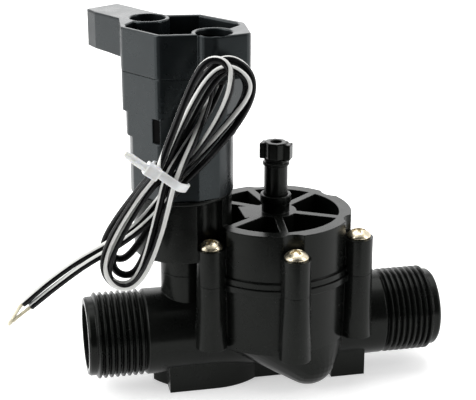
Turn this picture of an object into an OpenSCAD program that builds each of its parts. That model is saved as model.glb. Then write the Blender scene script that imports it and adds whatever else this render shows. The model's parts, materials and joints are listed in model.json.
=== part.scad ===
// In-line diaphragm valve with a solenoid pilot, a flow-control stem and a tied hank of lead wire.
// X runs along the pipe with the outlet at -X, -Z is the resting face, and the stem axis is X = Y = 0.

/* [Pipe ends] */
// Height of the pipe axis above the feet
pipe_h = 21; // [20:0.5:26]
// Outside diameter of the male thread and of the plain pipe
thread_od = 33.2; // [31:0.1:35]
// Distance from one thread crest to the next
thread_pitch = 2.3; // [1.6:0.1:3]
// Depth of the thread below its crests
thread_depth = 1.4; // [0.8:0.1:1.8]
// Number of full crests on each end
thread_turns = 8; // [5:1:9]
// Plain lead-in before the first crest
lead_in = 3; // [2:0.5:5]
// Bore of the pipe ends
pipe_bore = 25; // [22:0.5:26]
// Inlet end to the stem axis
inlet_reach = 64; // [60:0.5:80]
// Outlet end to the stem axis
outlet_reach = 74.5; // [70:0.5:90]

/* [Body] */
// Outside diameter of the body drum
drum_d = 58; // [56:0.5:62]
// Wall of the drum round the diaphragm chamber
drum_wall = 5; // [4:0.5:6]
// Height of the seam between body and bonnet
seam_h = 46; // [44:0.5:50]
// Reach of the seam flange past the drum
flange_lip = 1.5; // [0.5:0.25:3]
// Thickness of each half of the seam flange
flange_t = 2.5; // [1.5:0.25:4]
// Height of the drum's lower edge
drum_floor = 20; // [18:0.5:22]
// Radius of the two rounded lobes under the drum
lobe_r = 11; // [9:0.5:12]
// Lowest point of the lobes above the feet
lobe_h = 1.5; // [0.5:0.25:4]
// Lobe centres beyond the stem axis, towards the inlet
lobe_x = 9; // [6:0.5:10]
// Lobe centres out from the pipe axis
lobe_y = 17; // [15:0.5:18]
// Floor of the inlet pocket above the feet
pocket_h = 10; // [9:0.5:13]
// Diameter of the valve seat bore
seat_d = 22; // [18:0.5:24]
// Wall of the seat post
seat_wall = 3; // [2:0.25:4]
// Drop from the seam to the seat
seat_drop = 10; // [9:0.5:12]

/* [Feet] */
// Width of the feet across the pipe
foot_w = 26; // [20:0.5:28]
// Outer end of the foot under the outlet
foot_out = 44; // [38:0.5:50]
// Straight length of the foot under the outlet
foot_out_len = 18; // [12:0.5:20]
// Outer end of the foot under the inlet
foot_in = 33.5; // [30:0.5:40]
// Length of the foot under the inlet
foot_in_len = 13.5; // [8:0.5:16]
// Width of the keel that joins the feet
keel_w = 14; // [8:0.5:16]

/* [Bonnet] */
// Height of the bonnet above the seam
bonnet_h = 21; // [19:0.5:26]
// Depth of the open cells in the bonnet top
cell_depth = 8; // [5:0.5:9]
// Width of the rim round the cells
rim_w = 4.7; // [3.4:0.1:5]
// Thickness of the ribs between the cells
rib_t = 3; // [1.6:0.1:3.5]
// Diameter of the hub round the stem
hub_d = 16; // [14:0.5:20]
// Reach of the hub's web towards the solenoid
hub_web = 13.3; // [10:0.1:15]
// Height of the chamber above the diaphragm
chamber_h = 7; // [6.5:0.25:8]

/* [Screws] */
// Diameter of the screw circle
screw_circle = 65.6; // [64:0.2:70]
// Diameter of the screw bosses
boss_d = 11; // [10:0.25:12]
// Height of the bonnet bosses
boss_rise = 14; // [12:0.5:16]
// Length of the body bosses
boss_drop = 26; // [22:0.5:27]
// Widening of the body bosses towards their lower end
boss_flare = 0.6; // [0.2:0.1:1]
// Shank diameter of the screws
screw_d = 4.2; // [3.8:0.1:5]
// Head diameter of the screws
screw_head_d = 9; // [8:0.25:9.5]
// Head height of the screws
screw_head_h = 3.2; // [2.5:0.1:4]
// Length of the screws under the head
screw_len = 34; // [28:0.5:36]

/* [Diaphragm] */
// Thickness of the rubber diaphragm
rubber_t = 1.4; // [1:0.1:2]
// Thickness of the seat washer
washer_t = 2.5; // [2:0.25:3]
// Thickness of the pressure plate
plate_t = 2.5; // [2:0.25:3]
// Diameter of the plate's centre bolt
bolt_d = 6; // [5:0.25:7]
// Head height of the centre bolt
bolt_head_h = 2.5; // [2:0.25:3]
// Opening lift of the diaphragm
lift = 5; // [3:0.25:5]
// Length of the guide fins below the seat washer
guide_len = 12; // [8:0.5:14]

/* [Flow control] */
// Diameter of the stem
stem_d = 9; // [8:0.25:10]
// Downward travel of the stem
stem_travel = 8; // [5:0.5:8]
// Stem length that shows between the gland and the handle
stem_show = 14; // [12:0.2:18]
// Height of the gland
gland_h = 3.2; // [2.5:0.1:5]
// Wall of the gland
gland_wall = 1.2; // [1:0.1:2]
// Height of the boss under the gland
neck_h = 3.6; // [2:0.2:6]
// Height of the handle
handle_h = 6.6; // [5.6:0.2:9]
// Length of the handle bar
handle_l = 12; // [11:0.5:16]
// Width of the handle's middle
handle_w = 9; // [8:0.25:10]

/* [Solenoid] */
// Distance from the stem to the solenoid axis
sol_reach = 36; // [34:0.5:40]
// Outside diameter of the turret under the solenoid
turret_d = 37; // [34:0.5:38]
// Height of the turret above the bonnet top
turret_rise = 10.5; // [9:0.5:14]
// Depth of the turret below its top
turret_drop = 22.2; // [20.2:0.2:24]
// Thickness of the turning flange
ring_t = 1.4; // [1:0.1:2]
// Outside diameter of the solenoid's round lower end
shell_d = 38.4; // [37:0.2:40]
// Wall of the shell
shell_wall = 2.8; // [2:0.1:3.2]
// Height of the shell's round lower end
shell_round_h = 22; // [18:0.5:26]
// Height of the shell
shell_h = 45.8; // [44:0.2:52]
// Height of the cap
cap_h = 16; // [13:0.5:20]
// Wall round the cap's opening
cap_wall = 2; // [1.5:0.1:2.5]
// Bore of the two wells in the cap
well_d = 13; // [11:0.25:13.5]
// Depth of the wells
well_depth = 11; // [7:0.25:12]
// Outer end of the lever arm from the solenoid axis
arm_reach = 46; // [38:0.5:56]
// Width of the lever arm
arm_w = 16; // [12:0.5:17]
// Height of the lever arm
arm_h = 14; // [9:0.5:16]
// Plunger diameter
plunger_d = 9.6; // [8.5:0.1:10]
// Plunger length
plunger_l = 22; // [18:0.5:24]
// Plunger stroke
stroke = 2; // [1:0.1:2]
// Outside diameter of the coil
coil_d = 27; // [22:0.5:27.4]

/* [Lead wires] */
// Diameter of each wire over its insulation
wire_d = 2.6; // [1.8:0.1:2.6]
// Clear space between neighbouring wires of the hank
wire_gap = 0.75; // [0.7:0.05:0.9]
// Length of bare strand at each tip
bare_l = 9; // [5:0.5:14]
// Width of the cable tie
tie_w = 3.6; // [2.5:0.1:5]
// Thickness of the cable tie
tie_t = 1.2; // [0.8:0.1:1.6]

/* [Fits] */
// Radial clearance of turning and sliding pieces
run_gap = 0.15; // [0.1:0.01:0.2]
// Radial clearance of pieces that are fitted and stay
fit_gap = 0.1; // [0.06:0.01:0.15]

/* [Hidden] */
$fn = 64;
eps = 0.01;

// Pipe and body
pipe_r = thread_od / 2;
bore_r = pipe_bore / 2;
thread_len = lead_in + thread_turns * thread_pitch;
drum_r = drum_d / 2;
chamber_r = drum_r - drum_wall;
rim_gap = 0.2;
rim_r = drum_r - 2;
rim_t = 1.5;
seat_h = seam_h - seat_drop;
seat_r = seat_d / 2;
post_r = seat_r + seat_wall;
duct_wall = 2;
duct_drop = 0.5;
duct_r = seat_h - duct_drop - pipe_h;
duct_bore_r = min(bore_r, duct_r - duct_wall);
duct_from = chamber_r + 1;
floor_t = 1.5;
web_t = 3;
inlet_gap = 2.5;
boss_r = boss_d / 2;
screw_r = screw_d / 2;
screw_angles = [for (k = [0:5]) 30 + 60 * k];
foot_top = pipe_h - 7;
keel_top = pocket_h - floor_t;
pocket_r = 13;

// Bonnet
bonnet_top = seam_h + bonnet_h;
cell_floor = bonnet_top - cell_depth;
chamber_roof = seam_h + chamber_h;
boss_top = seam_h + boss_rise;
head_relief_r = screw_head_d / 2 + 1.2;
turret_r = turret_d / 2;
turret_top = bonnet_top + turret_rise;
turret_floor = turret_top - turret_drop;
pedestal_r = 8.8;
stem_r = stem_d / 2;
stem_bore_r = stem_r + run_gap;
neck_r = stem_bore_r + 0.7;
hub_r = hub_d / 2;
hub_web_w = hub_d * 0.78;
rib_from = hub_r - 1;
rib_angles = [40, 100, 142, 215, 264, 330];
passage_r = 1.2;
port_ring_r = 4.5;
port_section = 0.9;
port_groove = [port_ring_r - port_section - 0.1, port_ring_r + port_section + 0.1];
port_groove_depth = 2 * port_section;

// Diaphragm stack, from the seat upwards
bolt_r = bolt_d / 2;
plate_r = seat_r + 1.5;
washer_r = seat_r + 2;
rubber_z = seat_h + washer_t;
plate_z = rubber_z + rubber_t;
bolt_head_z = plate_z + plate_t;
bolt_flange = 1.8;
bolt_head_r = bolt_r + bolt_flange;
support_r = seat_r - 0.6;
support_t = 3;
spring_wire = 1.2;
spring_side = 2;
spring_r = bolt_head_r + spring_side + spring_wire / 2;
spring_room = spring_wire / 2 + 0.4;
spring_pocket = 3.5;
spring_top = chamber_roof + spring_pocket;
spring_end = 0.1;
spring_turns = 5;

// Flow control, as seen with the stem raised
gland_z = bonnet_top + neck_h;
handle_z = gland_z + gland_h + stem_show;
stem_end_z = bolt_head_z + bolt_head_h + lift + stem_travel + 0.6;
collar_t = 1;
collar_drop = 1.3;
collar_lip = 0.6;
collar_z = handle_z - collar_drop - collar_t;
o_ring_z = stem_end_z + 4;
o_section = 0.55;
groove_half = o_section + 0.05;
spigot_r = stem_r * 0.5;
spigot_h = handle_h * 0.5;

// Solenoid stack, upwards from the turret
plug_r = 9.8;
plug_depth = 8.5;
plug_bore_r = plug_r + run_gap;
pocket_floor = turret_top - plug_depth - 5;
link_x = 2 - chamber_r;
link_z = pocket_floor + 1 + passage_r;
link_from = plug_bore_r - 1.5 - sol_reach;
link_l = link_x + 2 - link_from;
rise_r = passage_r * 0.85;
nozzle_h = 2;
nozzle_r = 2.5;
seal_z = pocket_floor + nozzle_h;
seal_r = 3;
seal_t = 3;
plunger_r = plunger_d / 2;
plunger_z = seal_z + 1.6;
plunger_top = plunger_z + plunger_l;
tube_ri = plunger_r + run_gap;
tube_ro = tube_ri + 0.6;
tube_z = turret_top - plug_depth + 1;
core_z = plunger_top + stroke + 0.6;
shell_z = turret_top + ring_t;
frame_t = 2;
frame_gap = 0.3;
shell_r = shell_d / 2;
shell_ri = shell_r - shell_wall;
potting_r = shell_ri - 1.2;
frame_ro = shell_ri - frame_gap;
frame_ri = frame_ro - 1;
bobbin_z = shell_z + frame_t;
coil_h = 26;
bobbin_t = 1.6;
bobbin_ri = tube_ro + fit_gap;
bobbin_ro = bobbin_ri + 1.2;
coil_r = min(coil_d / 2, frame_ri - 0.6);
bobbin_top = bobbin_z + coil_h;
core_top = bobbin_top + frame_t;
shell_top = shell_z + shell_h;
potting_z = core_top + 2.2;
cap_top = shell_top + cap_h;
cap_floor_t = 2;
well_floor = cap_top - well_depth;
o_ring_sol_z = turret_top - plug_depth * 0.55;
o_section_sol = 1.05;
groove_half_sol = o_section_sol + 0.05;
pl_spring_r = 2.2;
pl_spring_wire = 0.6;
pl_spring_bore = pl_spring_r + pl_spring_wire / 2 + 0.4;
pl_spring_depth = 8;
pl_spring_turns = 7;

// Plan of the shell and of the cap about the solenoid axis, front edge first
plan_k = shell_r / 19.2;
shell_plan = plan_k * [
    [-21.6, 0.3], [-10.8, -16.4], [3.2, -17.8], [14, -14.8], [22.8, -5.6],
    [22.6, -0.4], [10.8, 16.4], [-3.2, 17.8], [-14, 14.8], [-21, 5]
];
cap_plan = plan_k * [
    [-21.6, 0.3], [-10.8, -16.4], [3.2, -17.8], [3.4, -19.8], [8.7, -22.4], [22.2, -18.9],
    [23.6, -1], [10.8, 16.4], [-3.2, 17.8], [-3.4, 19.8], [-8.7, 22.4], [-20, 16]
];
well_at = plan_k * [9.6, -14.6];
well_r = well_d / 2;
well_wall = 1.6;
grommet_at = plan_k * [[7.9, -19.2], [11.2, -19.2]];
grommet_h = 3;
grommet_wall = 0.6;
arm_turn = 120;
arm_side = 10;
arm_chamfer = [8, 1.6];
slot_turns = [52, 232];
slot_size = [6, 3.4, 9];
wing_step = 1.1;
slot_r = shell_ri + 1.6;

// Lead wires: hank frame, loop sizes by turn, and hand-chosen routes
wire_r = wire_d / 2;
pitch_w = wire_d + wire_gap;
grommet_drop = 1.5;
lead_home = [-36, 124.7];
exit_a = [-28.1, -19.2, 123.2];
exit_b = [-24.8, -19.2, 123.2];
waist = [-46, 91.5];
layer_y = [-25, -28.6, -32.2];
lean_mid = [27, 22.5];
lean_add = [5, -0.5];
loop_up = [49.5, 47.5];
loop_low = [39.5, 43.5];
waist_w = 5;
bulge_up = 19;
bulge_low = 14;
inner_bulge = 0.7;
climb_from = 0.88;
climb_span = 0.11;
hank_turns = 2;
hank_rings = 36;
hank_sides = 6;
free_sides = 8;
route_a_start = [
    [-28.1, -19.2, 120.6], [-28.9, -19.2, 118.4], [-30.9, -19.2, 115.6], [-33.9, -19.2, 112.3],
    [-37.4, -20, 108.8], [-41.1, -21.4, 105.1], [-44.5, -23.1, 101.7], [-47.4, -24.4, 98.6]
];
route_b_start = [
    [-24.8, -19.2, 119.2], [-25.7, -19.2, 115.8], [-27.9, -19.2, 112.1], [-31.2, -19.2, 108.4],
    [-34.9, -19.2, 104.7], [-38.7, -20.1, 101.3], [-42.2, -22.1, 98.4], [-44.8, -24.1, 96.1]
];
route_a_end = [
    [-53.3, -32.2, 87.6], [-56.6, -32.2, 83.6], [-61.4, -32.2, 79.4], [-66, -32.2, 75],
    [-71.2, -32.2, 70.8], [-77, -32.2, 66.6], [-82.7, -32.2, 62.5], [-88.6, -32.2, 58.5],
    [-94.5, -32.2, 54.8]
];
route_b_end = [
    [-50.2, -32.2, 86.2], [-53.6, -32.2, 81.8], [-58.2, -32.2, 77.2], [-62.9, -32.2, 73],
    [-68.2, -32.2, 68.7], [-74.1, -32.2, 64.2], [-80, -32.2, 60.1], [-85.9, -32.2, 56.2],
    [-91.7, -32.2, 52.7]
];
tip_a = [-99, -32.2, 52.1];
tip_b = [-96, -32.2, 50.1];
bare_to_a = [-5.4, -0.9, -8.2];
bare_to_b = [-7, 0.9, -7.2];
bare_r = 0.7;
tie_lean = 31;
tie_room = 0.5;
tie_head = [7, 5, 5.2];
tie_tail = [9, 1.1, 3.2];
tie_over = 3.4;
tie_round = 2.2;

function unit(v) = v / norm(v);
function smooth(t) = let (s = max(0, min(1, t))) s * s * (3 - 2 * s);
function mix(a, b, t) = a + (b - a) * t;

// A closed outline moved inwards by d, corner by corner
function inset(p, d) = [
    for (i = [0:len(p) - 1])
        let (
            a = p[(i + len(p) - 1) % len(p)],
            b = p[i],
            c = p[(i + 1) % len(p)],
            u = unit(b - a),
            v = unit(c - b),
            n = [-u.y, u.x],
            m = [-v.y, v.x]
        )
        b + d * (n + m) / (1 + n * m)
];

// Rings of a round tube along points whose runs never point straight along Y
function tangent(p, i) = unit(p[min(i + 1, len(p) - 1)] - p[max(i - 1, 0)]);
function ring(p, i, r, sides) =
    let (t = tangent(p, i), a = unit(cross([0, 1, 0], t)), b = cross(t, a))
    [for (k = [0:sides - 1]) p[i] + r * (a * cos(360 * k / sides) + b * sin(360 * k / sides))];

module tube(p, r, sides) {
    n = len(p);
    points = [for (i = [0:n - 1]) each ring(p, i, r, sides)];
    walls = [
        for (i = [0:n - 2], k = [0:sides - 1])
            let (a = i * sides + k, b = i * sides + (k + 1) % sides)
            each [[a, a + sides, b], [b, a + sides, b + sides]]
    ];
    near = [for (k = [1:sides - 2]) [0, k, k + 1]];
    far = [for (k = [1:sides - 2]) [(n - 1) * sides, (n - 1) * sides + k + 1, (n - 1) * sides + k]];
    polyhedron(points, concat(near, walls, far));
}

// One wire of the hank: t counts turns of a loop that is drawn in at the waist
function loop_point(t, inner) =
    let (
        turn = min(floor(t), hank_turns - 1),
        part = t - turn,
        climb = smooth((part - climb_from) / climb_span),
        next = min(turn + 1, len(lean_mid) - 1),
        c = -sin(360 * t),
        s = -cos(360 * t),
        reach = c > 0 ? loop_up[turn] : loop_low[turn],
        off = inner ? pitch_w : 0,
        bulge = (c > 0 ? bulge_up : bulge_low) * (inner ? inner_bulge : 1),
        u = (reach - off) * c,
        w = s * (waist_w - off + bulge * c * c),
        add = mix(lean_add[turn], lean_add[next], climb),
        lean = mix(lean_mid[turn], lean_mid[next], climb) + add * c,
        y = mix(layer_y[turn], layer_y[turn + 1], climb)
    )
    [waist.x + w * cos(lean) + u * sin(lean), y, waist.y - w * sin(lean) + u * cos(lean)];

function hank_path(inner, rings) = [for (i = [0:hank_turns * rings]) loop_point(i / rings, inner)];

// Least clear distance between two stretches of points, and of one path to itself
function path_gap(p, q) = min([for (a = p, b = q) norm(a - b)]) - wire_d;
function self_gap(p, skip) = min([
    for (i = [0:len(p) - 1 - skip], j = [i + skip:len(p) - 1]) norm(p[i] - p[j])
]) - wire_d;

hank_a = hank_path(false, hank_rings);
hank_b = hank_path(true, hank_rings);
fine = 3 * hank_rings;
fine_a = hank_path(false, fine);
fine_b = hank_path(true, fine);
echo(
    least_gap_a = self_gap(fine_a, 10),
    least_gap_b = self_gap(fine_b, 10),
    least_gap_between = path_gap(fine_a, fine_b)
);

// A helical spring as one tube, with flat rings at both ends
function coil_points(r, z0, z1, turns) = [
    for (i = [0:turns * 10])
        let (t = i / (turns * 10), a = 360 * turns * t)
        [r * cos(a), r * sin(a), mix(z0, z1, t)]
];
function coil_ring(p, i, r, sides) =
    let (t = tangent(p, i), a = unit([p[i].x, p[i].y, 0]), b = cross(t, a), c = cross(b, t))
    [for (k = [0:sides - 1]) p[i] + r * (c * cos(360 * k / sides) + b * sin(360 * k / sides))];

module spring(r, wire, z0, z1, turns) {
    sides = 6;
    p = coil_points(r, z0 + wire / 2 + spring_end, z1 - wire / 2 - spring_end, turns);
    n = len(p);
    points = [for (i = [0:n - 1]) each coil_ring(p, i, wire / 2, sides)];
    walls = [
        for (i = [0:n - 2], k = [0:sides - 1])
            let (a = i * sides + k, b = i * sides + (k + 1) % sides)
            each [[a, b, a + sides], [b, b + sides, a + sides]]
    ];
    near = [for (k = [1:sides - 2]) [0, k + 1, k]];
    far = [for (k = [1:sides - 2]) [(n - 1) * sides, (n - 1) * sides + k, (n - 1) * sides + k + 1]];
    polyhedron(points, concat(near, walls, far));
}

module at_lead() { translate([-sol_reach - lead_home.x, 0, shell_top - lead_home.y]) children(); }
module at_solenoid() { translate([-sol_reach, 0, 0]) children(); }
module at_screws() { for (a = screw_angles) rotate(a) translate([screw_circle / 2, 0, 0]) children(); }
module disc(r, z0, z1) { translate([0, 0, z0]) cylinder(r = r, h = z1 - z0); }
module sleeve(ri, ro, z0, z1) {
    difference() {
        disc(ro, z0, z1);
        disc(ri, z0 - 1, z1 + 1);
    }
}
module o_ring(r, section, z) {
    translate([0, 0, z]) rotate_extrude() translate([r, 0]) circle(section, $fn = 24);
}

// Half outline of a threaded end, from its face inwards along the pipe
function thread_outline() =
    let (root = pipe_r - thread_depth)
    concat(
        [[0, root - 0.6], [0.8, root], [lead_in, root]],
        [
            for (i = [0:thread_turns - 1])
                let (x = lead_in + i * thread_pitch)
                each [
                    [x + 0.36 * thread_pitch, pipe_r],
                    [x + 0.64 * thread_pitch, pipe_r],
                    [x + thread_pitch, root]
                ]
        ],
        [[thread_len + thread_depth, pipe_r]]
    );

module pipe() {
    half = thread_outline();
    n = len(half);
    outlet = [for (p = half) [p.y, p.x - outlet_reach]];
    inlet = [for (i = [n - 1:-1:0]) [half[i].y, inlet_reach - half[i].x]];
    translate([0, 0, pipe_h]) rotate([0, 90, 0]) rotate_extrude()
        polygon(concat([[0, -outlet_reach]], outlet, inlet, [[0, inlet_reach]]));
}

module lobes() {
    hull() {
        translate([0, 0, drum_floor - 1]) cylinder(r = drum_r - 0.5, h = 4);
        for (s = [-1, 1]) translate([lobe_x, s * lobe_y, lobe_h + lobe_r]) sphere(lobe_r, $fn = 32);
    }
}

module feet() {
    half_w = foot_w / 2;
    linear_extrude(foot_top) {
        translate([-foot_out, -half_w]) square([foot_out_len, foot_w]);
        intersection_for (s = [-1, 1])
            translate([foot_out_len - foot_out, s * half_w]) circle(foot_w);
        translate([foot_in - foot_in_len, -half_w]) square([foot_in_len, foot_w]);
    }
    translate([foot_out_len - foot_out, -keel_w / 2, 0])
        cube([foot_out - foot_out_len + foot_in - 1, keel_w, keel_top]);
}

module body_shell() {
    difference() {
        union() {
            pipe();
            disc(drum_r, drum_floor, seam_h);
            disc(drum_r + flange_lip, seam_h - flange_t, seam_h);
            lobes();
            feet();
            at_screws() translate([0, 0, seam_h - boss_drop])
                cylinder(r1 = boss_r + boss_flare, r2 = boss_r, h = boss_drop);
            at_solenoid() disc(pedestal_r, pipe_h, seam_h);
            translate([-sol_reach, -web_t / 2, pipe_h])
                cube([sol_reach - chamber_r - 2, web_t, seam_h - pipe_h]);
        }
        disc(chamber_r, drum_floor + floor_t, seam_h + 1);
        translate([lobe_x, 0, 0]) disc(pocket_r, pocket_h, seam_h);
    }
}

module valve_body() {
    color("#232426") difference() {
        union() {
            body_shell();
            disc(post_r, keel_top - 1, seat_h);
            translate([-chamber_r - 2, 0, pipe_h]) rotate([0, 90, 0])
                cylinder(r = duct_r, h = chamber_r + 2);
        }
        disc(seat_r, pipe_h - bore_r + floor_t, seat_h + 1);
        translate([0, 0, pipe_h]) rotate([0, 90, 0]) rotate_extrude() polygon([
            [0, -outlet_reach - 1], [bore_r, -outlet_reach - 1], [bore_r, -duct_from],
            [duct_bore_r, -duct_from + eps], [duct_bore_r, 0], [0, 0]
        ]);
        translate([post_r + inlet_gap, 0, pipe_h]) rotate([0, 90, 0])
            cylinder(r = bore_r, h = inlet_reach);
        disc(rim_r + rim_gap, seam_h - rim_t, seam_h + 1);
        at_screws() disc(screw_r + fit_gap, boss_top - screw_len - 2, seam_h + 1);
        at_solenoid() disc(passage_r, pipe_h, seam_h + 1);
        at_solenoid() sleeve(port_groove[0], port_groove[1], seam_h - port_groove_depth, seam_h + 1);
    }
}

// Wall between two cells of the bonnet, out to the rim
module ribs() {
    for (a = rib_angles)
        rotate(a) translate([rib_from, -rib_t / 2, cell_floor - 1])
            cube([drum_r - rim_w / 2 - rib_from, rib_t, cell_depth + 1]);
}

module bonnet_shape() {
    difference() {
        union() {
            difference() {
                disc(drum_r, seam_h, bonnet_top);
                disc(drum_r - rim_w, cell_floor, bonnet_top + 1);
            }
            ribs();
            disc(hub_r, cell_floor - 1, bonnet_top);
            translate([-hub_web, -hub_web_w / 2, cell_floor - 1])
                cube([hub_web, hub_web_w, cell_depth + 1]);
            disc(drum_r + flange_lip - 0.6, seam_h, seam_h + flange_t);
            at_screws() disc(boss_r, seam_h, boss_top);
            at_solenoid() disc(turret_r, turret_floor, turret_top);
            at_solenoid() disc(pedestal_r, seam_h, turret_floor + 1);
            translate([-sol_reach, -web_t / 2, seam_h])
                cube([sol_reach - drum_r + 3, web_t, turret_floor - seam_h + 1]);
            disc(neck_r, bonnet_top - 2, gland_z);
        }
        at_screws() disc(head_relief_r, boss_top, turret_top + 1);
    }
}

module bonnet() {
    color("#232426") difference() {
        bonnet_shape();
        disc(chamber_r, seam_h - 1, chamber_roof);
        sleeve(spring_r - spring_room, spring_r + spring_room, chamber_roof - 1, spring_top);
        disc(stem_bore_r, chamber_roof - 1, gland_z + 1);
        at_screws() disc(screw_r + 0.3, seam_h - 1, boss_top + 1);
        at_solenoid() {
            difference() {
                disc(plug_bore_r, pocket_floor, turret_top + 1);
                disc(nozzle_r, pocket_floor - 1, seal_z);
            }
            disc(passage_r, seam_h - 1, seal_z + 1);
        }
        translate([link_from, 0, link_z]) rotate([0, 90, 0]) cylinder(r = passage_r, h = link_l);
        translate([link_x, 0, 0]) disc(rise_r, chamber_roof - 1, link_z);
    }
}

module screw() {
    recess = [5.2, 1.1, 1.5];
    dome_r = (pow(screw_head_d / 2, 2) + pow(screw_head_h - 0.8, 2)) / (2 * (screw_head_h - 0.8));
    disc(screw_r, boss_top - screw_len, boss_top + eps);
    difference() {
        intersection() {
            disc(screw_head_d / 2, boss_top, boss_top + screw_head_h);
            translate([0, 0, boss_top + screw_head_h - dome_r]) sphere(dome_r);
        }
        for (a = [20, 110]) rotate(a) translate([0, 0, boss_top + screw_head_h])
            cube([recess.x, recess.y, 2 * recess.z], center = true);
    }
}
module bonnet_screws() { color("#c9b68c") at_screws() screw(); }

module diaphragm() {
    bore = bolt_r + fit_gap;
    color("#2d2d2b") rotate_extrude() polygon([
        [bore, rubber_z], [washer_r, rubber_z], [chamber_r - 0.4, seam_h - rim_t],
        [rim_r, seam_h - rim_t], [rim_r, seam_h], [chamber_r - 1, seam_h],
        [plate_r + 0.3, plate_z], [bore, plate_z]
    ]);
}

module seat_washer() { color("#3a3a38") sleeve(bolt_r + fit_gap, washer_r, seat_h, rubber_z); }

module diaphragm_support() {
    fin = [2 * support_r * 0.94, 1.8, guide_len - 1];
    color("#d9d6cc") difference() {
        union() {
            disc(support_r, seat_h - support_t, seat_h);
            for (a = [45, 135])
                rotate(a) translate([-fin.x / 2, -fin.y / 2, seat_h - guide_len]) cube(fin);
            disc(bolt_r + 2, seat_h - guide_len, seat_h);
        }
        disc(bolt_r + fit_gap, seat_h - guide_len + 2, seat_h + 1);
    }
}

module pressure_plate() { color("#d9d6cc") sleeve(bolt_r + fit_gap, plate_r, plate_z, bolt_head_z); }

module centre_bolt() {
    color("#b8b9ba") {
        disc(bolt_r, seat_h - guide_len + 2.5, bolt_head_z + eps);
        translate([0, 0, bolt_head_z]) cylinder(r = bolt_head_r, h = bolt_head_h, $fn = 6);
    }
}

module diaphragm_spring() {
    color("#a9abad") spring(spring_r, spring_wire, bolt_head_z, spring_top, spring_turns);
}

module port_o_ring() {
    color("#1c1c1c") at_solenoid() o_ring(port_ring_r, port_section, seam_h - port_section);
}

module flow_stem() {
    color("#1f2022") difference() {
        union() {
            disc(stem_r, stem_end_z, handle_z);
            disc(stem_r + collar_lip, collar_z, collar_z + collar_t);
            disc(spigot_r, handle_z - 1, handle_z + spigot_h);
        }
        sleeve(stem_r - 2 * o_section, stem_r + 1, o_ring_z - groove_half, o_ring_z + groove_half);
    }
}

module stem_o_ring() { color("#1c1c1c") o_ring(stem_r - o_section + 0.05, o_section - 0.02, o_ring_z); }

module stem_gland() {
    color("#1f2022") sleeve(stem_bore_r, stem_bore_r + gland_wall, gland_z, gland_z + gland_h);
}

module flow_handle() {
    bar = [handle_l, handle_w * 0.52, handle_h * 0.92];
    socket_r = spigot_r - 0.2;
    color("#1f2022") rotate(-30) difference() {
        union() {
            translate([-bar.x / 2, -bar.y / 2, handle_z]) cube(bar);
            translate([0, 0, handle_z]) rotate(22.5) cylinder(d = handle_w, h = handle_h, $fn = 8);
        }
        disc(spigot_r + fit_gap, handle_z - 1, handle_z + spigot_h + 0.2);
        disc(socket_r, handle_z + spigot_h + 1.2, handle_z + handle_h + 1);
    }
}

module solenoid_base() {
    color("#202123") at_solenoid() difference() {
        union() {
            disc(plug_r, turret_top - plug_depth, turret_top + eps);
            disc(shell_r - 0.6, turret_top, shell_z);
        }
        disc(tube_ro + fit_gap, tube_z, shell_z + 1);
        disc(tube_ri + 0.3, turret_top - plug_depth - 1, tube_z + 1);
        sleeve(
            plug_r - 2 * o_section_sol, plug_r + 1,
            o_ring_sol_z - groove_half_sol, o_ring_sol_z + groove_half_sol
        );
    }
}

module solenoid_o_ring() {
    color("#1c1c1c") at_solenoid()
        o_ring(plug_r - o_section_sol + 0.05, o_section_sol - 0.02, o_ring_sol_z);
}

module core_tube() { color("#b8a46a") at_solenoid() sleeve(tube_ri, tube_ro, tube_z, core_top); }

module fixed_core() {
    color("#9a9c9e") at_solenoid() {
        disc(tube_ri - fit_gap, core_z, core_top + eps);
        disc(tube_ro + 1.5, core_top, core_top + 2);
    }
}

module plunger() {
    color("#a4a6a8") at_solenoid() difference() {
        disc(plunger_r, plunger_z, plunger_top);
        disc(pl_spring_bore, plunger_top - pl_spring_depth, plunger_top + 1);
        disc(seal_r + fit_gap, plunger_z - 1, seal_z + seal_t);
    }
}

module plunger_seal() { color("#7a2f22") at_solenoid() disc(seal_r, seal_z, seal_z + seal_t); }

module plunger_spring() {
    color("#a9abad") at_solenoid()
        spring(pl_spring_r, pl_spring_wire, plunger_top - pl_spring_depth, core_z, pl_spring_turns);
}

module coil_bobbin() {
    color("#c8c4b6") at_solenoid() {
        sleeve(bobbin_ri, bobbin_ro, bobbin_z, bobbin_top);
        sleeve(bobbin_ri, coil_r + 0.3, bobbin_z, bobbin_z + bobbin_t);
        sleeve(bobbin_ri, coil_r + 0.3, bobbin_top - bobbin_t, bobbin_top);
    }
}

module coil_winding() {
    color("#a5622f") at_solenoid()
        sleeve(bobbin_ro + fit_gap, coil_r, bobbin_z + bobbin_t, bobbin_top - bobbin_t);
}

module flux_frame() {
    color("#8e9092") at_solenoid() {
        sleeve(tube_ro + fit_gap, frame_ro, shell_z, bobbin_z);
        sleeve(frame_ri, frame_ro, bobbin_z - eps, bobbin_top);
    }
}

module flux_washer() {
    color("#8e9092") at_solenoid() sleeve(tube_ro + fit_gap, frame_ro, bobbin_top, core_top);
}

// What is left of the shell's corners outside a circle, cleared between two heights
module corner_cut(r, z0, z1) {
    difference() {
        disc(2 * shell_r, z0, z1);
        disc(r, z0 - 1, z1 + 1);
    }
}

module solenoid_shell() {
    round_top = shell_z + shell_round_h;
    color("#2c2e31") at_solenoid() difference() {
        translate([0, 0, shell_z]) linear_extrude(shell_h) polygon(shell_plan);
        corner_cut(shell_r, shell_z - 1, round_top);
        corner_cut(shell_r + wing_step, round_top - eps, round_top + slot_size.z);
        disc(shell_ri, shell_z - 1, potting_z);
        disc(potting_r, shell_z, shell_top + 1);
        for (a = slot_turns)
            rotate(a) translate([slot_r, -slot_size.y / 2, round_top]) cube(slot_size);
    }
}

module potting_fill() { color("#151515") at_solenoid() disc(potting_r - fit_gap, potting_z, shell_top); }

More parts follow.
